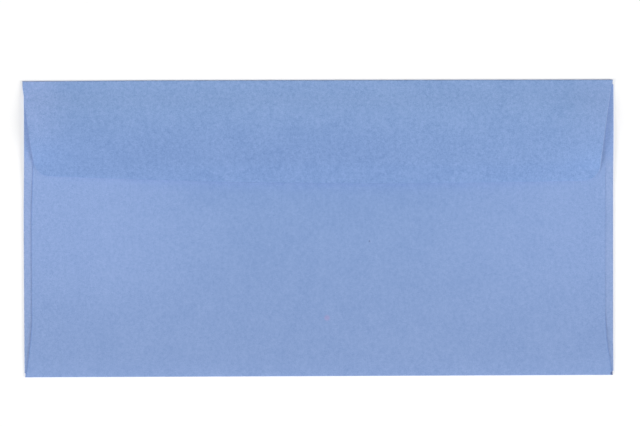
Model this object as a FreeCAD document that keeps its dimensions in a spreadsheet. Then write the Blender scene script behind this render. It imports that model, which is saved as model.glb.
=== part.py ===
# Long wallet envelope, folded from one sheet of coloured paper and glued at its two side seams.
# It lies on its address side with the flap up. The sheet runs from the front panel round four
# folds: two side flaps, a back panel glued over them, and a top flap that springs up in the middle.
# Millimetres. Origin: middle of the footprint, on the resting face. +X along the long edge,
# +Y towards the flap's fold, +Z up through the sheets.
import FreeCAD, Part
import os
import Sketcher
from FreeCAD import Vector

NODE = "envelope"
START, END, CENTRE = 1, 2, 3
SKETCH_ORIGIN = (-1, 1)

# Driving dimensions: name, value, what it is.
SIZES = [
    ("envelope_width", 220.0, "over the two side folds"),
    ("envelope_height", 110.5, "over the bottom and top folds"),
    ("sheet_thickness", 0.15, "one layer of the paper"),
    ("pocket_gap", 0.35, "air between the front panel and the side flaps"),
    ("flap_gap", 0.15, "air between the back panel and the root of the top flap"),
    ("side_flap_width", 18.0, "from the side fold inwards"),
    ("side_flap_taper", 6.0, "each end of the side flap slants by this much"),
    ("side_fold_relief", 1.2, "the side fold stops this far short of the corner folds"),
    ("back_edge_inset", 2.8, "the back panel's side edge, in from the side fold"),
    ("back_corner_inset", 0.4, "the same edge where it meets the bottom fold"),
    ("back_shoulder_length", 24.0, "height over which that edge curves inwards"),
    ("throat_depth", 15.0, "from the top fold down to the back panel's free edge"),
    ("throat_corner_cut", 4.0, "slant at the two ends of the back panel's free edge"),
    ("flap_root_width", 220.0, "the flap's cut width at the top fold"),
    ("flap_offset", -0.35, "the flap's middle, off the middle of the pocket"),
    ("flap_depth", 38.5, "from the top fold to the deepest point of the flap's edge"),
    ("flap_deepest_offset", 31.0, "that point, off the middle of the pocket"),
    ("flap_edge_radius", 3200.0, "shallow bow of the flap's free edge"),
    ("flap_side_angle", 7.8, "degrees that each side of the flap slants inwards"),
    ("flap_corner_radius", 6.0, "round at the two free corners of the flap"),
    ("flap_end_lift", 0.3, "rise of the flap's free edge at its two ends"),
    ("flap_middle_lift", 2.5, "rise of the flap's free edge in the middle"),
]

# Levels of the layers and the folds' middles, all from the cells above.
SIDE_FLAP_FLOOR = "(sizes.sheet_thickness + sizes.pocket_gap)"
BACK_FLOOR = "(2 * sizes.sheet_thickness + sizes.pocket_gap)"
BACK_TOP = "(3 * sizes.sheet_thickness + sizes.pocket_gap)"
FLAP_TOP = "(4 * sizes.sheet_thickness + sizes.pocket_gap + sizes.flap_gap)"
SIDE_FOLD_X = f"(sizes.envelope_width / 2 - {BACK_FLOOR} / 2)"
BOTTOM_FOLD_Y = f"(-sizes.envelope_height / 2 + {BACK_TOP} / 2)"
TOP_FOLD_Y = f"(sizes.envelope_height / 2 - {FLAP_TOP} / 2)"
FLAP_LEFT_X = "(sizes.flap_offset - sizes.flap_root_width / 2)"
FLAP_RIGHT_X = "(sizes.flap_offset + sizes.flap_root_width / 2)"
FLAP_REACH = "(sizes.flap_depth + 2 * sizes.sheet_thickness)"


def make_sheet(doc):
    sheet = doc.addObject("Spreadsheet::Sheet", "sizes")
    for row, (name, value, note) in enumerate(SIZES, start=1):
        sheet.set(f"A{row}", name)
        sheet.set(f"B{row}", str(value))
        sheet.set(f"C{row}", note)
        sheet.setAlias(f"B{row}", name)
    doc.recompute()


def number(body, size):
    return float(body.evalExpression(size))


def new_sketch(body, name, plane, level="0"):
    """An empty sketch on one of the body's own planes, or at a driven distance from it."""
    sketch = body.newObject("Sketcher::SketchObject", name)
    support = next(item for item in body.Origin.OriginFeatures if item.Role == plane)
    sketch.AttachmentSupport = (support, [""])
    sketch.MapMode = "FlatFace"
    sketch.setExpression("AttachmentOffset.Base.z", level)
    return sketch


def hold(sketch, kind, *where, size):
    """A dimension of the sketch that follows the sheet's cells."""
    value = number(sketch, size)
    index = sketch.addConstraint(Sketcher.Constraint(kind, *where, value))
    sketch.setExpression(f"Constraints[{index}]", size)


def hold_point(sketch, curve, end, x, y):
    hold(sketch, "DistanceX", *SKETCH_ORIGIN, curve, end, size=x)
    hold(sketch, "DistanceY", *SKETCH_ORIGIN, curve, end, size=y)


def join(sketch, first, first_end, second, second_end, kind="Coincident"):
    sketch.addConstraint(Sketcher.Constraint(kind, first, first_end, second, second_end))


def draw_line(sketch, start, end):
    return sketch.addGeometry(Part.LineSegment(Vector(*start, 0), Vector(*end, 0)), False)


def draw_arc(sketch, start, middle, end):
    """An arc through three points. Its START is the end met first when going anticlockwise."""
    points = [Vector(*point, 0) for point in (start, middle, end)]
    return sketch.addGeometry(Part.Arc(*points), False)


def draw_polygon(sketch, corners):
    """Straight-sided outline whose every corner is held at driven coordinates."""
    points = [(number(sketch, x), number(sketch, y)) for x, y in corners]
    lines = []
    for start, end in zip(points, points[1:] + points[:1]):
        lines.append(draw_line(sketch, start, end))
    for line, following, (x, y) in zip(lines, lines[1:] + lines[:1], corners):
        join(sketch, line, END, following, START)
        hold_point(sketch, line, START, x, y)


def pad(body, sketch, name, length, both_ways=False):
    feature = body.newObject("PartDesign::Pad", name)
    feature.Profile = sketch
    feature.setExpression("Length", length)
    if both_ways:
        feature.SideType = "Symmetric"
    body.Document.recompute()
    return feature


def draw_fold(sketch, middle_x, height, bulge):
    """Half ring of one sheet turned over: `height` is the outer height, `bulge` the side it bends to."""
    x = number(sketch, middle_x)
    outer = number(sketch, height) / 2
    inner = outer - number(sketch, "sizes.sheet_thickness")
    arcs = []
    for radius in (outer, inner):
        bottom = (x, outer - radius)
        top = (x, outer + radius)
        outermost = (x + bulge * radius, outer)
        arcs.append(draw_arc(sketch, bottom, outermost, top))
    big, small = arcs
    low_end, high_end = (START, END) if bulge > 0 else (END, START)
    low = draw_line(sketch, (x, 0), (x, outer - inner))
    high = draw_line(sketch, (x, outer + inner), (x, 2 * outer))
    join(sketch, big, CENTRE, small, CENTRE)
    hold_point(sketch, big, CENTRE, middle_x, f"{height} / 2")
    hold(sketch, "Radius", big, size=f"{height} / 2")
    hold(sketch, "Radius", small, size=f"{height} / 2 - sizes.sheet_thickness")
    join(sketch, big, low_end, low, START)
    join(sketch, small, low_end, low, END)
    join(sketch, small, high_end, high, START)
    join(sketch, big, high_end, high, END)
    for arc, end in ((big, low_end), (big, high_end), (small, low_end), (small, high_end)):
        join(sketch, big, CENTRE, arc, end, "Vertical")


def add_front_panel(body):
    sketch = new_sketch(body, "front_panel_outline", "XY_Plane")
    draw_polygon(sketch, [
        (f"-{SIDE_FOLD_X}", BOTTOM_FOLD_Y),
        (SIDE_FOLD_X, BOTTOM_FOLD_Y),
        (SIDE_FOLD_X, TOP_FOLD_Y),
        (f"-{SIDE_FOLD_X}", TOP_FOLD_Y),
    ])
    pad(body, sketch, "front_panel", "sizes.sheet_thickness")


def add_side_flaps(body):
    """Each side flap is turned in over the front panel and ends in slants clear of the corners."""
    fold_low = f"({BOTTOM_FOLD_Y} + sizes.side_fold_relief)"
    fold_high = f"({TOP_FOLD_Y} - sizes.side_fold_relief)"
    section = new_sketch(body, "side_fold_section", "XZ_Plane", f"-{fold_low}")
    draw_fold(section, SIDE_FOLD_X, BACK_FLOOR, 1)
    fold = pad(body, section, "side_fold", f"{fold_high} - {fold_low}")
    fold.Reversed = True
    outline = new_sketch(body, "side_flap_outline", "XY_Plane", SIDE_FLAP_FLOOR)
    free_x = "(sizes.envelope_width / 2 - sizes.side_flap_width)"
    draw_polygon(outline, [
        (SIDE_FOLD_X, fold_low),
        (SIDE_FOLD_X, fold_high),
        (free_x, f"{fold_high} - sizes.side_flap_taper"),
        (free_x, f"{fold_low} + sizes.side_flap_taper"),
    ])
    flap = pad(body, outline, "side_flap", "sizes.sheet_thickness")
    other_side = body.newObject("PartDesign::Mirrored", "other_side_flap")
    other_side.Originals = [fold, flap]
    middle = next(item for item in body.Origin.OriginFeatures if item.Role == "YZ_Plane")
    other_side.MirrorPlane = (middle, [""])
    body.Tip = other_side
    body.Document.recompute()


def add_back_panel(body):
    """Turned up over the bottom fold and glued on the side flaps; its sides curve in to the straight."""
    fold = new_sketch(body, "bottom_fold_section", "YZ_Plane")
    draw_fold(fold, BOTTOM_FOLD_Y, BACK_TOP, -1)
    half_width = "(sizes.envelope_width / 2 - sizes.back_corner_inset)"
    pad(body, fold, "bottom_fold", f"2 * {half_width}", both_ways=True)
    edge_x = "(sizes.envelope_width / 2 - sizes.back_edge_inset)"
    shoulder_y = "(-sizes.envelope_height / 2 + sizes.back_shoulder_length)"
    throat_y = "(sizes.envelope_height / 2 - sizes.throat_depth)"
    cut_y = f"({throat_y} - sizes.throat_corner_cut)"
    cut_x = f"({edge_x} - sizes.throat_corner_cut)"
    sketch = new_sketch(body, "back_panel_outline", "XY_Plane", BACK_FLOOR)
    stations = [
        (f"-{half_width}", BOTTOM_FOLD_Y),
        (half_width, BOTTOM_FOLD_Y),
        (edge_x, shoulder_y),
        (edge_x, cut_y),
        (cut_x, throat_y),
        (f"-{cut_x}", throat_y),
        (f"-{edge_x}", cut_y),
        (f"-{edge_x}", shoulder_y),
    ]
    points = [(number(sketch, x), number(sketch, y)) for x, y in stations]
    # The shoulder bows towards the pocket: a quarter of its height up, it is already this far in.
    step_in = number(sketch, f"{half_width} - {edge_x}")
    bow_y = (points[1][1] + points[2][1]) / 2
    bow_x = points[2][0] + step_in / 4
    curves = []
    for index, (start, end) in enumerate(zip(points, points[1:] + points[:1])):
        if index == 1:
            curves.append((draw_arc(sketch, end, (bow_x, bow_y), start), END, START))
        elif index == 7:
            curves.append((draw_arc(sketch, end, (-bow_x, bow_y), start), END, START))
        else:
            curves.append((draw_line(sketch, start, end), START, END))
    for index, (x, y) in enumerate(stations):
        curve, first, last = curves[index]
        following, its_first, its_last = curves[(index + 1) % len(curves)]
        join(sketch, curve, last, following, its_first)
        hold_point(sketch, curve, first, x, y)
    right_arc = curves[1][0]
    left_arc = curves[7][0]
    join(sketch, right_arc, CENTRE, right_arc, START, "Horizontal")
    join(sketch, left_arc, CENTRE, left_arc, END, "Horizontal")
    pad(body, sketch, "back_panel", "sizes.sheet_thickness")


def draw_flap_section(sketch, lift):
    """The flap's sheet cut across: level at the fold, then bowed up by `lift` at its free edge."""
    reach = number(sketch, FLAP_REACH)
    root = number(sketch, TOP_FOLD_Y)
    top = number(sketch, FLAP_TOP)
    rise = number(sketch, lift)
    thickness = number(sketch, "sizes.sheet_thickness")
    radius = (reach ** 2 + rise ** 2) / (2 * rise)
    arcs = []
    for level, size in ((top, radius), (top - thickness, radius + thickness)):
        centre = level + size
        middle_y = centre - (size ** 2 - (reach / 2) ** 2) ** 0.5
        end_y = centre - (size ** 2 - reach ** 2) ** 0.5
        arcs.append(draw_arc(sketch, (root - reach, end_y), (root - reach / 2, middle_y), (root, level)))
    upper, lower = arcs
    free_edge = draw_line(sketch, (root - reach, end_y + thickness), (root - reach, end_y))
    root_edge = draw_line(sketch, (root, top - thickness), (root, top))
    join(sketch, upper, START, free_edge, START)
    join(sketch, lower, START, free_edge, END)
    join(sketch, lower, END, root_edge, START)
    join(sketch, upper, END, root_edge, END)
    join(sketch, upper, CENTRE, lower, CENTRE)
    join(sketch, upper, CENTRE, upper, END, "Vertical")
    join(sketch, upper, CENTRE, lower, END, "Vertical")
    join(sketch, free_edge, START, free_edge, END, "Vertical")
    hold_point(sketch, upper, END, TOP_FOLD_Y, FLAP_TOP)
    hold(sketch, "DistanceY", lower, END, upper, END, size="sizes.sheet_thickness")
    hold(sketch, "DistanceX", upper, START, upper, END, size=FLAP_REACH)
    hold(sketch, "Radius", upper, size=f"({FLAP_REACH}^2 + {lift}^2) / (2 * {lift})")


def add_top_flap(body):
    """The fold along the top edge, and the flap as one bowed surface from end to middle to end."""
    fold = new_sketch(body, "top_fold_section", "YZ_Plane", FLAP_LEFT_X)
    draw_fold(fold, TOP_FOLD_Y, FLAP_TOP, 1)
    pad(body, fold, "top_fold", "sizes.flap_root_width")
    sections = []
    for name, level, lift in (
        ("flap_left_section", FLAP_LEFT_X, "sizes.flap_end_lift"),
        ("flap_middle_section", "sizes.flap_offset", "sizes.flap_middle_lift"),
        ("flap_right_section", FLAP_RIGHT_X, "sizes.flap_end_lift"),
    ):
        section = new_sketch(body, name, "YZ_Plane", level)
        draw_flap_section(section, lift)
        sections.append(section)
    body.Document.recompute()
    flap = body.newObject("PartDesign::AdditiveLoft", "top_flap")
    flap.Profile = sections[0]
    flap.Sections = sections[1:]
    flap.Ruled = False
    body.Document.recompute()


def draw_flap_outline(sketch):
    """Slanting sides, rounded corners and a shallow bowed edge, open at the fold's side."""
    left = number(sketch, FLAP_LEFT_X)
    right = number(sketch, FLAP_RIGHT_X)
    fold_y = number(sketch, TOP_FOLD_Y)
    corner = number(sketch, "sizes.flap_corner_radius")
    low = number(sketch, "sizes.envelope_height / 2 - sizes.flap_depth")
    slant = number(sketch, "tan(sizes.flap_side_angle * 1deg)") * (fold_y - low - corner)
    deepest = number(sketch, "sizes.flap_deepest_offset")
    left_side = draw_line(sketch, (left, fold_y), (left + slant, low + corner))
    left_round = draw_arc(
        sketch, (left + slant, low + corner), (left + slant + 0.3 * corner, low + 0.3 * corner),
        (left + slant + corner, low))
    edge = draw_arc(sketch, (left + slant + corner, low), (deepest, low - 1), (right - slant - corner, low))
    right_round = draw_arc(
        sketch, (right - slant - corner, low), (right - slant - 0.3 * corner, low + 0.3 * corner),
        (right - slant, low + corner))
    right_side = draw_line(sketch, (right - slant, low + corner), (right, fold_y))
    join(sketch, left_side, END, left_round, START, "Tangent")
    join(sketch, left_round, END, edge, START, "Tangent")
    join(sketch, edge, END, right_round, START, "Tangent")
    join(sketch, right_round, END, right_side, START, "Tangent")
    hold_point(sketch, left_side, START, FLAP_LEFT_X, TOP_FOLD_Y)
    hold_point(sketch, right_side, END, FLAP_RIGHT_X, TOP_FOLD_Y)
    hold(sketch, "Radius", left_round, size="sizes.flap_corner_radius")
    hold(sketch, "Radius", right_round, size="sizes.flap_corner_radius")
    hold(sketch, "Radius", edge, size="sizes.flap_edge_radius")
    hold(sketch, "DistanceX", *SKETCH_ORIGIN, edge, CENTRE, size="sizes.flap_deepest_offset")
    hold(sketch, "DistanceY", *SKETCH_ORIGIN, edge, CENTRE,
         size="sizes.envelope_height / 2 - sizes.flap_depth + sizes.flap_edge_radius")
    hold(sketch, "Angle", left_side, size="(sizes.flap_side_angle - 90) * 1deg")
    hold(sketch, "Angle", right_side, size="(90 - sizes.flap_side_angle) * 1deg")
    return left_side, right_side


def trim_top_flap(body):
    """Cut the bowed sheet to the flap's outline, down to just above the back panel."""
    margin = "sizes.flap_corner_radius"
    cut_floor = f"({BACK_TOP} + sizes.flap_gap / 2)"
    cut_top = f"({FLAP_TOP} + sizes.flap_middle_lift + sizes.sheet_thickness)"
    sketch = new_sketch(body, "top_flap_outline", "XY_Plane", cut_top)
    left_side, right_side = draw_flap_outline(sketch)
    surround = [
        (FLAP_RIGHT_X, TOP_FOLD_Y),
        (f"{FLAP_RIGHT_X} + {margin}", TOP_FOLD_Y),
        (f"{FLAP_RIGHT_X} + {margin}", f"{TOP_FOLD_Y} - {FLAP_REACH} - {margin}"),
        (f"{FLAP_LEFT_X} - {margin}", f"{TOP_FOLD_Y} - {FLAP_REACH} - {margin}"),
        (f"{FLAP_LEFT_X} - {margin}", TOP_FOLD_Y),
        (FLAP_LEFT_X, TOP_FOLD_Y),
    ]
    points = [(number(sketch, x), number(sketch, y)) for x, y in surround]
    lines = [draw_line(sketch, start, end) for start, end in zip(points, points[1:])]
    for line, following, (x, y) in zip(lines, lines[1:], surround[1:]):
        join(sketch, line, END, following, START)
        hold_point(sketch, line, END, x, y)
    join(sketch, right_side, END, lines[0], START)
    join(sketch, left_side, START, lines[-1], END)
    trim = body.newObject("PartDesign::Pocket", "top_flap_trim")
    trim.Profile = sketch
    trim.setExpression("Length", f"{cut_top} - {cut_floor}")
    body.Document.recompute()


def check(doc):
    for item in doc.Objects:
        if {"Invalid", "Error"} & set(item.State):
            raise RuntimeError(f"{item.Name}: {item.State}")
        if item.isDerivedFrom("Part::Feature") and (item.Shape.isNull() or not item.Shape.isValid()):
            raise RuntimeError(f"{item.Name} has no valid shape")


def main():
    os.makedirs("parts", exist_ok=True)
    doc = FreeCAD.newDocument("envelope_build")
    make_sheet(doc)
    body = doc.addObject("PartDesign::Body", NODE)
    body.Label = NODE
    add_front_panel(body)
    add_side_flaps(body)
    add_back_panel(body)
    add_top_flap(body)
    trim_top_flap(body)
    doc.recompute()
    check(doc)
    if len(body.Shape.Solids) != 1:
        raise RuntimeError("the folded sheet is not one solid")
    body.Shape.exportStep(f"parts/{NODE}.step")


main()
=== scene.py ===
# A long paper envelope lying flap up on a pale table, seen from straight above.
# Metres, in the part's own frame: +X along the long edge, +Y to the flap's fold, +Z up.
import bmesh
import bpy
import math
from collections import namedtuple
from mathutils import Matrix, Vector


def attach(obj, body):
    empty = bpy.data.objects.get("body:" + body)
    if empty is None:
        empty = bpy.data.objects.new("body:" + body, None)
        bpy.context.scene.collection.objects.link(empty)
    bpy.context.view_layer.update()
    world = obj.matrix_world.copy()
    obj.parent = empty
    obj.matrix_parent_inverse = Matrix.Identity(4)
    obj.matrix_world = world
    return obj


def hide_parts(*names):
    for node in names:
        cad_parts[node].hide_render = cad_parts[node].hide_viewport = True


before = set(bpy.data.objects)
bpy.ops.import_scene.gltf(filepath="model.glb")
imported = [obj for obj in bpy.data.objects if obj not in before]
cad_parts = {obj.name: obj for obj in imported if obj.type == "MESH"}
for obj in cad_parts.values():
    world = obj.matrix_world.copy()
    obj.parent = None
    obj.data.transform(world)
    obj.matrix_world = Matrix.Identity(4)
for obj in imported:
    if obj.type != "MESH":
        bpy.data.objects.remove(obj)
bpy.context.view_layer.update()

MM = 0.001

# How near to a line or a height a point counts as on it
TINY = 0.001 * MM

# The sheet, and how high the folded layers stand at each fold, outside to outside
PAPER = 0.15 * MM
WIDTH = 220.0 * MM
HEIGHT = 110.5 * MM
SIDE_STACK = 0.62 * MM
BACK_STACK = 0.80 * MM
FLAP_STACK = 1.10 * MM
SIDE_FOLD_X = WIDTH / 2 - SIDE_STACK / 2
BOTTOM_FOLD_Y = -HEIGHT / 2 + BACK_STACK / 2
TOP_FOLD_Y = HEIGHT / 2 - FLAP_STACK / 2
FOLD_RELIEF = 1.2 * MM

# The side flaps and the back panel
SIDE_FLAP = 18.0 * MM
SIDE_FLAP_TAPER = 6.0 * MM
BACK_INSET = 2.8 * MM
BACK_CORNER_INSET = 0.4 * MM
SHOULDER = 24.0 * MM
THROAT = 15.0 * MM
THROAT_CUT = 4.0 * MM

# The top flap
FLAP_ROOT = 219.5 * MM
FLAP_OFFSET = -0.60 * MM
FLAP_SLANT = math.radians(8.2)
FLAP_UPRIGHT = 1.5 * MM
FLAP_CORNER = 6.0 * MM
FLAP_STRAIGHT_DEPTH = 35.44 * MM
FLAP_BOW = 3.06 * MM
FLAP_BOW_MIDDLE = 31.0 * MM
FLAP_BOW_REACH = 140.0 * MM
FLAP_END_LIFT = 0.3 * MM
FLAP_MIDDLE_LIFT = 2.2 * MM
FLAP_SPRING_POWER = 1.35

# How finely each part of the sheet is divided
FRONT_COLUMNS = 88
FRONT_ROWS = 44
FOLD_STEPS = 10
TOP_FOLD_STEPS = 12
SIDE_FLAP_ROWS = 7
SHOULDER_ROW = 2.0 * MM
SHOULDER_ROWS = 11
BACK_ROWS = 26
FLAP_ROWS = 15
FLAP_CORNER_DEGREES = (18, 28, 38, 48, 58, 68, 78, 90)

# The panels, as they are noted on the sheet's points
FRONT_PANEL, SIDE_FLAPS, BACK_PANEL, TOP_FLAP = 0, 1, 2, 3

# The creases: how hard each one is pressed, as a share of the height above the front panel, and
# how far in from the edge that reaches, in millimetres
TOP_PRESS = 0.60
TOP_REACH = 11.0
BOTTOM_PRESS = 0.48
BOTTOM_REACH = 5.0
SIDE_PRESS = 0.30
SIDE_REACH = 2.6
FULL_FROM = 0.2
MOST_ON_SIDE_FLAPS = 0.40

# A hair smaller than the folds make it, which keeps the sheet within the solid part's box
HAIR_SMALLER = 0.9998

# Edges that are bent further than this look sharp
SHARP_FROM = math.radians(40)

# The paper's blues
PANEL_LOW = (0.244, 0.354, 0.629, 1.0)
PANEL_HIGH = (0.240, 0.362, 0.652, 1.0)
PANEL_SHADE = (0.165, 0.290, 0.590, 1.0)
FLAP_LEFT = (0.226, 0.353, 0.662, 1.0)
FLAP_RIGHT = (0.238, 0.368, 0.676, 1.0)
FLAP_LOW_EDGE = (0.237, 0.372, 0.698, 1.0)
FLAP_HIGH = (0.249, 0.382, 0.677, 1.0)
# painted light: the paler blue towards the ends of the panel and the flap
PAINTED_LIGHT_ENDS = (0.335, 0.455, 0.790, 1.0)
# partly bare paper, partly a painted highlight where the flap's cut edge catches the light
BARE_EDGE_AND_HIGHLIGHT = (0.45, 0.56, 0.80, 1.0)
# painted shade along the seams
SEAM_SHADE = (0.09, 0.20, 0.56, 1.0)
PINK_FLECK = (0.52, 0.32, 0.56, 1.0)
DARK_FLECK = (0.09, 0.12, 0.26, 1.0)

# Tints that a blue is multiplied by
SIDES_LOW = (1.09, 1.04, 1.0, 1.0)
SIDES_HIGH = (1.030, 1.045, 1.062, 1.0)
GRAIN_DARK = (0.815, 0.868, 0.915)
GRAIN_LIGHT = (1.185, 1.132, 1.085)

# The room
BLACK = (0.0, 0.0, 0.0, 1.0)
WHITE = (1.0, 1.0, 1.0, 1.0)
TABLE_WHITE = (0.93, 0.93, 0.93, 1.0)
TABLE_GLOW = (0.12, 0.12, 0.12, 1.0)
TABLE_SIZE = 6.0
TABLE_GAP = 0.05 * MM
ROOM_LIGHT = 0.18
OVERHEAD_BOX = (0.0, -0.30, 2.50)
SIDE_BOX_X = 2.38
SIDE_BOX_Y = -1.15
SIDE_BOX_Z = 1.45

# The camera: one or two centimetres off the middle and about a degree off plumb, as in the photo
CAMERA_PLACE = (-0.0095, 0.01694, 0.7)
CAMERA_TURN = (-0.01626, -0.01403, -0.00272)
CAMERA_LENS = 105.549
CAMERA_SENSOR = 36.0


def edit():
    bpy.ops.object.mode_set(mode="EDIT")


def leave():
    bpy.ops.object.mode_set(mode="OBJECT")


def mesh_now():
    return bmesh.from_edit_mesh(bpy.context.object.data)


def show_selection(mesh):
    mesh.select_flush_mode()
    bmesh.update_edit_mesh(bpy.context.object.data)


def pick_rim(test):
    """Selects the open edges whose two ends pass the test."""
    bpy.ops.mesh.select_mode(type="EDGE")
    bpy.ops.mesh.select_all(action="DESELECT")
    mesh = mesh_now()
    for edge in mesh.edges:
        if edge.is_boundary and all(test(corner.co) for corner in edge.verts):
            edge.select_set(True)
    show_selection(mesh)


def pull(x=0.0, y=0.0, z=0.0):
    """Draws the selected edge out into a new strip of paper."""
    bpy.ops.mesh.extrude_region_move(TRANSFORM_OT_translate={"value": (x, y, z)})


def widen(x=1.0, y=1.0, middle=(0.0, 0.0, 0.0)):
    """Scales what is selected about a point."""
    bpy.ops.transform.resize(value=(x, y, 1.0), center_override=middle)


def turn_over(middle, axis, angle, steps):
    """Folds the selected edge right over about a line."""
    bpy.ops.mesh.spin(steps=steps, angle=angle, center=middle, axis=axis)


def bend_row(middle_x, reach, move):
    """Bends the selected row of points into a bow, and leaves it selected.

    Only the row is in sight while it bends, and the falloff used is a parabola.
    """
    bpy.ops.mesh.select_mode(type="VERT")
    bpy.ops.mesh.hide(unselected=True)
    bpy.ops.mesh.select_all(action="DESELECT")
    mesh = mesh_now()
    shown = [point for point in mesh.verts if not point.hide]
    nearest = min(shown, key=lambda point: abs(point.co.x - middle_x))
    nearest.select_set(True)
    show_selection(mesh)
    bpy.ops.transform.translate(
        value=move, use_proportional_edit=True, proportional_edit_falloff="INVERSE_SQUARE",
        proportional_size=reach)
    bpy.ops.mesh.select_all(action="DESELECT")
    bpy.ops.mesh.reveal(select=True)
    bpy.ops.mesh.select_all(action="INVERT")
    bpy.ops.mesh.select_mode(type="EDGE")


def mark_panel(number, known):
    """Notes the panel of the points drawn after the known ones, and counts them all."""
    mesh = mesh_now()
    layer = mesh.verts.layers.float.get("panel") or mesh.verts.layers.float.new("panel")
    mesh.verts.index_update()
    for point in mesh.verts:
        if point.index >= known:
            point[layer] = number
    bmesh.update_edit_mesh(bpy.context.object.data)
    return len(mesh.verts)


def on_front_panel(p):
    """Tells the front panel's own top and bottom rims from those of the side flaps above it."""
    return abs(p.z - PAPER / 2) < TINY and abs(p.x) < SIDE_FOLD_X + TINY


def front_panel():
    """The address side, as tall as the side folds; a short strip follows above and below them."""
    low = BOTTOM_FOLD_Y + FOLD_RELIEF
    high = TOP_FOLD_Y - FOLD_RELIEF
    middle = (0.0, (low + high) / 2, PAPER / 2)
    bpy.ops.object.select_all(action="DESELECT")
    bpy.ops.mesh.primitive_grid_add(
        x_subdivisions=FRONT_COLUMNS, y_subdivisions=FRONT_ROWS, size=1.0, location=middle)
    sheet = bpy.context.object
    sheet.name = "folded_sheet"
    bpy.ops.object.transform_apply(location=True, rotation=False, scale=False)
    edit()
    widen(2 * SIDE_FOLD_X, high - low, middle)
    return sheet, low, high


def side_flap(side, low, high):
    """One of the two narrow flaps that are folded in first, tapered at both its ends."""
    fold_x = side * SIDE_FOLD_X
    pick_rim(lambda p: abs(p.x - fold_x) < TINY)
    turn_over((fold_x, 0.0, SIDE_STACK / 2), (0.0, 1.0, 0.0), side * math.pi, FOLD_STEPS)
    run = (SIDE_FLAP - SIDE_STACK / 2) / SIDE_FLAP_ROWS
    lengths = [
        high - low - 2 * SIDE_FLAP_TAPER * row / SIDE_FLAP_ROWS
        for row in range(SIDE_FLAP_ROWS + 1)]
    for before, after in zip(lengths, lengths[1:]):
        pull(x=-side * run)
        widen(y=after / before, middle=(0.0, (low + high) / 2, 0.0))


def back_half_width(y):
    """Half the back panel's width: curved in from the bottom corner, straight, then slanted."""
    up = y + HEIGHT / 2
    step_in = BACK_INSET - BACK_CORNER_INSET
    radius = (SHOULDER ** 2 + step_in ** 2) / (2 * step_in)
    straight = WIDTH / 2 - BACK_INSET
    if up < SHOULDER:
        return straight + radius - math.sqrt(radius ** 2 - (SHOULDER - up) ** 2)
    return straight - max(0.0, y - (HEIGHT / 2 - THROAT - THROAT_CUT))


def back_rows():
    """Where the back panel has its rows of points, from the bottom fold up to the throat."""
    throat = HEIGHT / 2 - THROAT
    shoulder = [BOTTOM_FOLD_Y + SHOULDER_ROW * row for row in range(1, SHOULDER_ROWS + 1)]
    start = shoulder[-1]
    run = throat - THROAT_CUT - start
    straight = [start + run * row / BACK_ROWS for row in range(1, BACK_ROWS + 1)]
    return shoulder + straight + [throat - THROAT_CUT / 2, throat]


def back_panel():
    """The panel that is folded up from the bottom edge over the two side flaps."""
    pick_rim(lambda p: on_front_panel(p) and p.y < BOTTOM_FOLD_Y + FOLD_RELIEF + TINY)
    pull(y=-FOLD_RELIEF)
    turn_over((0.0, BOTTOM_FOLD_Y, BACK_STACK / 2), (1.0, 0.0, 0.0), math.pi, FOLD_STEPS)
    y = BOTTOM_FOLD_Y
    width = SIDE_FOLD_X
    for row in back_rows():
        pull(y=row - y)
        widen(x=back_half_width(row) / width)
        width = back_half_width(row)
        y = row


FlapRow = namedtuple("FlapRow", "depth half_width rise arch bow")


def sprung_row(depth, half_width):
    """A row of the flap at a depth below the fold's edge: its rise, and its bows up and out."""
    sprung = (depth / FLAP_STRAIGHT_DEPTH) ** FLAP_SPRING_POWER
    bowed = min(1.0, depth / (FLAP_STRAIGHT_DEPTH - FLAP_CORNER))
    return FlapRow(
        depth, half_width, FLAP_END_LIFT * sprung, (FLAP_MIDDLE_LIFT - FLAP_END_LIFT) * sprung,
        FLAP_BOW * bowed)


def flap_rows():
    """The flap's rows: slanted in to the sides of the round corners, then round them."""
    fold = FLAP_STACK / 2
    corner_depth = FLAP_STRAIGHT_DEPTH - FLAP_CORNER
    tangent = corner_depth + FLAP_CORNER * math.sin(FLAP_SLANT)
    rows = []
    for row in range(1, FLAP_ROWS + 1):
        depth = fold + (tangent - fold) * row / FLAP_ROWS
        slanted = max(0.0, depth - fold - FLAP_UPRIGHT)
        rows.append(sprung_row(depth, FLAP_ROOT / 2 - slanted * math.tan(FLAP_SLANT)))
    middle = rows[-1].half_width - FLAP_CORNER * math.cos(FLAP_SLANT)
    for angle in map(math.radians, FLAP_CORNER_DEGREES):
        rows.append(sprung_row(
            corner_depth + FLAP_CORNER * math.sin(angle), middle + FLAP_CORNER * math.cos(angle)))
    return rows


def top_flap():
    """The deep flap: flat at its fold, sprung up most in its middle, with a shallow bowed edge."""
    pick_rim(lambda p: on_front_panel(p) and p.y > TOP_FOLD_Y - FOLD_RELIEF - TINY)
    pull(y=FOLD_RELIEF)
    widen(x=FLAP_ROOT / 2 / SIDE_FOLD_X)
    bpy.ops.transform.translate(value=(FLAP_OFFSET, 0.0, 0.0))
    turn_over((0.0, TOP_FOLD_Y, FLAP_STACK / 2), (1.0, 0.0, 0.0), -math.pi, TOP_FOLD_STEPS)
    before = FlapRow(FLAP_STACK / 2, FLAP_ROOT / 2, 0.0, 0.0, 0.0)
    for row in flap_rows():
        pull(y=before.depth - row.depth, z=row.rise - before.rise)
        widen(x=row.half_width / before.half_width, middle=(FLAP_OFFSET, 0.0, 0.0))
        bend_row(0.0, WIDTH / 2, (0.0, 0.0, row.arch - before.arch))
        bend_row(FLAP_BOW_MIDDLE, FLAP_BOW_REACH, (0.0, before.bow - row.bow, 0.0))
        before = row


def ease(value, low, high):
    """0 at low, 1 at high, smooth between; either may be the larger."""
    share = min(1.0, max(0.0, (value - low) / (high - low)))
    return share * share * (3 - 2 * share)


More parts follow.
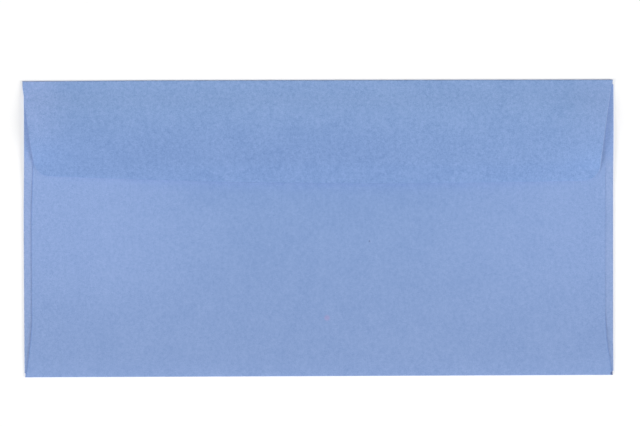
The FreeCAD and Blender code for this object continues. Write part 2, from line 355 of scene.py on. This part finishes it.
def move_by(sheet, axis, distance, share):
    """Moves the paper by the share of the distance that a rule gives for each spot and panel.

    The rule gets the spot in millimetres, as it is after the moves before.
    """
    panels = [spot.value for spot in sheet.data.attributes["panel"].data]
    group = sheet.vertex_groups.new(name="moved")
    for point in sheet.data.vertices:
        x, y, z = (round(value / MM, 4) for value in point.co)
        weight = share(x, y, z, round(panels[point.index]))
        if weight > 0:
            group.add([point.index], min(1.0, weight), "REPLACE")
    shift = sheet.modifiers.new("shift", "DISPLACE")
    shift.direction = axis
    shift.mid_level = 0.0
    shift.strength = distance
    shift.vertex_group = group.name
    bpy.ops.object.modifier_apply(modifier=shift.name)
    sheet.vertex_groups.clear()


def patch(across, *upwards, panel=None):
    """A rule for move_by, for a patch of the sheet and, if one is named, for one panel only.

    Each pair gives the places in millimetres where the move sets in and where it is full: the
    first pair across the sheet, the others up or down it.
    """
    def share(x, y, z, here):
        if panel not in (None, here):
            return 0.0
        return ease(x, *across) * math.prod(ease(y, *pair) for pair in upwards)

    return share


def press_folds(sheet):
    """Presses the stack down along its four folds, which are sharp creases in real paper."""
    end = HEIGHT / 2 / MM
    side = WIDTH / 2 / MM
    front = PAPER / 2 / MM
    layers = (SIDE_STACK - PAPER) / MM

    def press(x, y, z, panel):
        above = max(0.0, z - front)
        if panel != TOP_FLAP:
            above = min(above, layers)
        share = max(
            TOP_PRESS * ease(y, end - TOP_REACH, end - FULL_FROM),
            BOTTOM_PRESS * ease(y, BOTTOM_REACH - end, FULL_FROM - end),
            SIDE_PRESS * ease(abs(x), side - SIDE_REACH, side - FULL_FROM))
        if panel == SIDE_FLAPS:
            share = min(share, MOST_ON_SIDE_FLAPS)
        return above * share

    move_by(sheet, "Z", -MM, press)


def lift_sides(sheet):
    """Both side edges stand off the table beside the flap, and a little lower down too."""
    for side, height in ((-1, 0.9 * MM), (1, 0.7 * MM)):
        beside_flap = patch((side * 55, side * 112), (12, 34), (57, 33))
        lower_down = patch((side * 90, side * 111), (36, 12), (-56, -44))
        move_by(sheet, "Z", height, beside_flap)
        move_by(sheet, "Z", 0.22 * MM, lower_down)


def draw_askew(sheet):
    """Small shifts of the side edges, which aren't quite square in a handled envelope."""
    move_by(sheet, "X", 0.37 * MM, patch((-55, -112), (2, 34), (66, 40)))
    move_by(sheet, "X", -0.14 * MM, patch((60, 110), (50, 20), (-56, -40)))
    move_by(sheet, "X", 0.36 * MM, patch((-60, -106), (2, 24), panel=BACK_PANEL))
    move_by(sheet, "X", 0.60 * MM, patch((60, 108), (52.5, 53.6), panel=TOP_FLAP))
    move_by(sheet, "Y", -0.22 * MM, patch((-55, -110), (10, 50)))
    for side, moved in ((-1, 0.16 * MM), (1, -0.25 * MM)):
        move_by(sheet, "X", moved, patch((side * 60, side * 106), (-46, -36), panel=BACK_PANEL))


def curl_flap_ends(sheet):
    """The flap's ends curl up from the back panel, and their corners dip again."""
    for side, raised, drawn_in, foot in ((-1, 1.0, -0.20, 34), (1, 1.3, 0.35, 29)):
        end = patch((side * 84, side * 107), (57, 36), (21, foot), panel=TOP_FLAP)
        move_by(sheet, "Z", raised * MM, end)
        move_by(sheet, "X", -side * drawn_in * MM, end)
    for side, dip in ((-1, 0.32 * MM), (1, 0.15 * MM)):
        move_by(sheet, "Z", -dip, patch((side * 92, side * 104), (31, 23), panel=TOP_FLAP))


def seam_gape(side, upper_share):
    """A rule for a side seam, open near the bottom corner and by the given share above that."""
    along_seam = patch((side * 102, side * 106), (22, 14), panel=BACK_PANEL)

    def share(x, y, z, here):
        at_corner = ease(y, -55, -50) * ease(y, -28, -40)
        above_corner = upper_share * ease(y, -45, -30)
        return along_seam(x, y, z, here) * max(at_corner, above_corner)

    return share


def relax(sheet):
    """The sheet isn't quite flat or square. Each move starts from where the last one ended."""
    lift_sides(sheet)
    draw_askew(sheet)
    curl_flap_ends(sheet)
    for side, gap, upper_share in ((-1, 0.26 * MM, 0.4), (1, 0.20 * MM, 0.0)):
        move_by(sheet, "Z", gap, seam_gape(side, upper_share))


def mark_cut_edges(sheet):
    """Notes the points on the sheet's cut outline."""
    edit()
    mesh = mesh_now()
    layer = mesh.verts.layers.float.new("cut")
    for point in mesh.verts:
        point[layer] = 1.0 if point.is_boundary else 0.0
    bmesh.update_edit_mesh(sheet.data)
    leave()


def give_thickness(sheet):
    """Turns the folded surface into paper of its real thickness."""
    wall = sheet.modifiers.new("paper", "SOLIDIFY")
    wall.thickness = PAPER
    wall.offset = 0.0
    wall.use_even_offset = True
    wall.use_rim = True
    bpy.ops.object.modifier_apply(modifier=wall.name)
    edit()
    bpy.ops.mesh.select_all(action="SELECT")
    widen(HAIR_SMALLER, HAIR_SMALLER)
    bpy.ops.mesh.normals_make_consistent(inside=False)
    leave()
    bpy.ops.object.shade_smooth_by_angle(angle=SHARP_FROM)


class Wire:
    """A socket that can be reckoned with: each sum adds its Math node."""

    def __init__(self, paint, socket):
        self.paint = paint
        self.socket = socket

    def reckon(self, operation, first, second):
        return self.paint.node("ShaderNodeMath", {"operation": operation}, [first, second])

    def __add__(self, other):
        return self.reckon("ADD", self, other)

    def __sub__(self, other):
        return self.reckon("SUBTRACT", self, other)

    def __rsub__(self, other):
        return self.reckon("SUBTRACT", other, self)

    def __mul__(self, other):
        return self.reckon("MULTIPLY", self, other)

    __radd__ = __add__
    __rmul__ = __mul__


class Paint:
    """The nodes of a material or of the world."""

    def __init__(self, owner):
        owner.use_nodes = True
        self.tree = owner.node_tree

    def node(self, kind, settings=None, inputs=(), output=0):
        """Adds a node: its settings first, then the values or wires of its inputs."""
        made = self.tree.nodes.new(kind)
        for name, value in (settings or {}).items():
            setattr(made, name, value)
        self.give(made, inputs if isinstance(inputs, dict) else dict(enumerate(inputs)))
        return Wire(self, made.outputs[output])

    def give(self, made, inputs):
        """Gives a node's inputs, by number or by name, their values or wires."""
        for key, value in inputs.items():
            if isinstance(value, Wire):
                self.tree.links.new(value.socket, made.inputs[key])
            else:
                made.inputs[key].default_value = value

    def ramp(self, wire, low, high, start=0.0, end=1.0):
        """Runs smoothly from start to end while the wire goes from low to high."""
        return self.node("ShaderNodeMapRange", {"interpolation_type": "SMOOTHSTEP"}, [
            wire, low, high, start, end])

    def mixed(self, share, start, end):
        """A colour between two others; its sockets share their names, so they go by number."""
        return self.node("ShaderNodeMix", {"data_type": "RGBA", "clamp_factor": False}, {
            0: share, 6: start, 7: end}, 2)

    def scaled(self, colour, factor):
        """The colour with each of its parts multiplied."""
        return self.node("ShaderNodeVectorMath", {"operation": "MULTIPLY"}, [colour, factor])

    def seen_by_camera(self):
        """1 where the camera looks straight at it, 0 where it only lights or is mirrored."""
        return self.node("ShaderNodeLightPath", output="Is Camera Ray")


class PaperPaint(Paint):
    """The paint of the sheet, which knows the place, the panel and the cut edges."""

    def __init__(self, owner):
        super().__init__(owner)
        self.place = self.node("ShaderNodeTexCoord", output="Object")
        self.across = self.node("ShaderNodeSeparateXYZ", {}, [self.place], "X")
        self.along = self.node("ShaderNodeSeparateXYZ", {}, [self.place], "Y")
        self.cut = self.noted("cut")
        panel = self.noted("panel")
        self.on_flap = self.ramp(panel, TOP_FLAP - 0.6, TOP_FLAP - 0.4)
        self.on_sides = self.ramp(panel, BACK_PANEL - 0.4, BACK_PANEL - 0.6)

    def noted(self, name):
        """What was noted on the sheet's points under a name."""
        return self.node("ShaderNodeAttribute", {"attribute_name": name}, output="Fac")

    def sideways(self, start, end, low=0.0, high=1.0):
        """Runs from low to high between two places across the sheet, in millimetres."""
        return self.ramp(self.across, start * MM, end * MM, low, high)

    def upwards(self, start, end, low=0.0, high=1.0):
        """Runs from low to high between two heights on the sheet, in millimetres."""
        return self.ramp(self.along, start * MM, end * MM, low, high)

    def noise(self, per_metre, detail, roughness):
        """Noise about 0."""
        return self.node("ShaderNodeTexNoise", {}, {
            "Vector": self.place, "Scale": per_metre, "Detail": detail,
            "Roughness": roughness}) - 0.5

    def fleck(self, x, y, size):
        """1 at the middle of a small spot and 0 at its edge; all in millimetres."""
        off_x = self.across - x * MM
        off_y = self.along - y * MM
        return self.ramp(off_x * off_x + off_y * off_y, (size * MM) ** 2, 0.0)


def panel_colour(paper):
    """The back panel: bluer towards the flap, with a soft shade below the flap's edge.

    The shade fades out between 45 and 84 mm from the middle, whose squares are in the ramp.
    """
    plain = paper.mixed(paper.upwards(-50, 20), PANEL_LOW, PANEL_HIGH)
    near_middle = paper.ramp(paper.across * paper.across, 0.0070, 0.0020)
    shade = paper.upwards(2, 18) * paper.upwards(17.2, 14.8) * near_middle
    return paper.mixed(shade * 0.12, plain, PANEL_SHADE)


def flap_colour(paper):
    """The top flap: deepest at its left, palest towards its fold and along its free edge."""
    low = paper.mixed(paper.sideways(10, 50), FLAP_LEFT, FLAP_RIGHT)
    low_edge = paper.upwards(26.5, 21.5) * paper.sideways(-90, -40, 0.1) * 0.6
    low = paper.mixed(low_edge, low, FLAP_LOW_EDGE)
    return paper.mixed(paper.upwards(26, 50), low, FLAP_HIGH)


def paint_light_on_ends(paper, colour):
    """Painted light: the panel and the flap are paler towards their ends."""
    panel_ends = paper.sideways(-20, -85) * 0.40 + paper.sideways(20, 95) * 0.28
    flap_ends = paper.sideways(-88, -109) * 0.60 + paper.sideways(92, 107) * 0.25
    on_panel = (1.0 - paper.on_flap) * paper.upwards(-45, 0, 0.12) * panel_ends
    on_flap = paper.on_flap * paper.upwards(24, 42) * flap_ends
    return paper.mixed(on_panel + on_flap, colour, PAINTED_LIGHT_ENDS)


def tint_sides(paper, colour):
    """The strips beside the back panel are warmer than it, and bluer where the flap begins."""
    tint = paper.mixed(paper.upwards(22, 30), SIDES_LOW, SIDES_HIGH)
    return paper.mixed(paper.on_sides, colour, paper.scaled(colour, tint))


def grain(paper, colour, mottle, fibres):
    """Cloudy formation and the mottle of the fibres, both a little stronger on the flap."""
    clouds = paper.noise(60.0, 2.0, 0.6)
    specks = paper.noise(260.0, 2.0, 0.6)
    cloudy = (clouds * 0.40 + specks * 0.24) * (paper.on_flap * 0.3 + 1.0)
    grainy = (mottle * 1.5 + fibres * 1.6) * (paper.on_flap * 0.38 + 1.0)
    dark = paper.scaled(colour, GRAIN_DARK)
    light = paper.scaled(colour, GRAIN_LIGHT)
    return paper.mixed(cloudy + grainy + 0.5, dark, light)


def edge_lines(paper, colour):
    """The flap's cut edge is paler, bare paper and a painted highlight; painted shade darkens the
    seams.
    """
    # bare paper with a painted highlight along the flap's cut edge, stronger towards the right
    bare_and_highlight = paper.ramp(paper.cut, 0.90, 1.0) * paper.on_flap * paper.sideways(50, 80, 0.2, 0.6)
    colour = paper.mixed(bare_and_highlight, colour, BARE_EDGE_AND_HIGHLIGHT)
    # painted shade: a dark line on the back panel's cut edges where its step shades the seams
    low = paper.upwards(-28, -40)
    left = paper.sideways(0, -50) * (low * 0.18 + paper.upwards(-2, 6) * 0.18 + 0.24)
    right = paper.sideways(0, 50) * low * 0.32
    seam = paper.ramp(paper.cut, 0.88, 0.97) * (1.0 - paper.on_flap) * (left + right)
    return paper.mixed(seam, colour, SEAM_SHADE)


def flecks(paper, colour):
    """A pink fleck, a dark one and a worn corner."""
    pink = paper.fleck(2.8, -33.4, 1.4)
    dark = paper.fleck(18.7, -4.85, 0.45)
    worn = paper.fleck(109.4, -54.6, 0.9)
    colour = paper.mixed(pink * 0.30, colour, PINK_FLECK)
    return paper.mixed(dark * 0.55 + worn * 0.9, colour, DARK_FLECK)


def blue_paper():
    """Uncoated paper dyed pale blue, with a fine mottle and a little tooth."""
    material = bpy.data.materials.new("blue_paper")
    paper = PaperPaint(material)
    mottle = paper.noise(900.0, 3.0, 0.7)
    fibres = paper.noise(2600.0, 2.0, 0.6)
    colour = paper.mixed(paper.on_flap, panel_colour(paper), flap_colour(paper))
    colour = paint_light_on_ends(paper, colour)
    colour = tint_sides(paper, colour)
    colour = grain(paper, colour, mottle, fibres)
    colour = edge_lines(paper, colour)
    colour = flecks(paper, colour)
    tooth = paper.node("ShaderNodeBump", {}, {
        "Strength": 0.35, "Distance": 0.04 * MM, "Height": mottle + fibres * 0.5})
    paper.give(paper.tree.nodes["Principled BSDF"], {
        "Base Color": colour, "Roughness": mottle * 0.1 + 0.86, "Specular IOR Level": 0.2,
        "Normal": tooth})
    return material


def envelope():
    """The whole envelope, folded from one sheet in the order that a maker folds it."""
    sheet, low, high = front_panel()
    drawn = mark_panel(FRONT_PANEL, 0)
    for side in (-1, 1):
        side_flap(side, low, high)
    drawn = mark_panel(SIDE_FLAPS, drawn)
    back_panel()
    drawn = mark_panel(BACK_PANEL, drawn)
    top_flap()
    mark_panel(TOP_FLAP, drawn)
    leave()
    press_folds(sheet)
    relax(sheet)
    mark_cut_edges(sheet)
    give_thickness(sheet)
    sheet.data.materials.clear()
    sheet.data.materials.append(blue_paper())
    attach(sheet, "root")
    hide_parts("envelope")


def white_table():
    """Matt white, a little paler still to the camera, so that it clips to white."""
    material = bpy.data.materials.new("white_table")
    paint = Paint(material)
    paint.give(paint.tree.nodes["Principled BSDF"], {
        "Base Color": TABLE_WHITE, "Roughness": 0.9, "Specular IOR Level": 0.1,
        "Emission Color": paint.mixed(paint.seen_by_camera(), BLACK, TABLE_GLOW),
        "Emission Strength": 1.0})
    return material


def table():
    """The table top, just under the sheet."""
    bpy.ops.object.select_all(action="DESELECT")
    bpy.ops.mesh.primitive_plane_add(size=TABLE_SIZE, location=(0.0, 0.0, -TABLE_GAP))
    floor = bpy.context.object
    floor.name = "table_top"
    floor.data.materials.append(white_table())


def white_room():
    """A dim white room. The camera sees it as plain white, which lights nothing."""
    world = bpy.data.worlds.new("white_room")
    paint = Paint(world)
    strength = paint.seen_by_camera() * (1.0 - ROOM_LIGHT) + ROOM_LIGHT
    paint.give(paint.tree.nodes["Background"], {"Color": WHITE, "Strength": strength})
    bpy.context.scene.world = world


def softbox(name, place, size, power):
    """A square lamp that faces the envelope."""
    lamp = bpy.data.lights.new(name, "AREA")
    lamp.shape = "SQUARE"
    lamp.size = size
    lamp.energy = power
    holder = bpy.data.objects.new(name, lamp)
    holder.location = place
    holder.rotation_euler = (-Vector(place)).to_track_quat("-Z", "Y").to_euler()
    bpy.context.collection.objects.link(holder)


def soft_light():
    """A big softbox over the table and one low on each side, towards the front."""
    softbox("overhead_softbox", OVERHEAD_BOX, size=1.5, power=22.6)
    for name, side, power in (("left_softbox", -1, 46.0), ("right_softbox", 1, 51.0)):
        softbox(name, (side * SIDE_BOX_X, SIDE_BOX_Y, SIDE_BOX_Z), size=1.4, power=power)


def camera():
    """The camera that looks down on the envelope."""
    lens = bpy.data.cameras.new("overhead")
    lens.lens = CAMERA_LENS
    lens.sensor_width = CAMERA_SENSOR
    holder = bpy.data.objects.new("overhead", lens)
    holder.location = CAMERA_PLACE
    holder.rotation_euler = CAMERA_TURN
    bpy.context.collection.objects.link(holder)
    bpy.context.scene.camera = holder


envelope()
table()
white_room()
soft_light()
camera()
bpy.context.scene.view_settings.view_transform = "Standard"
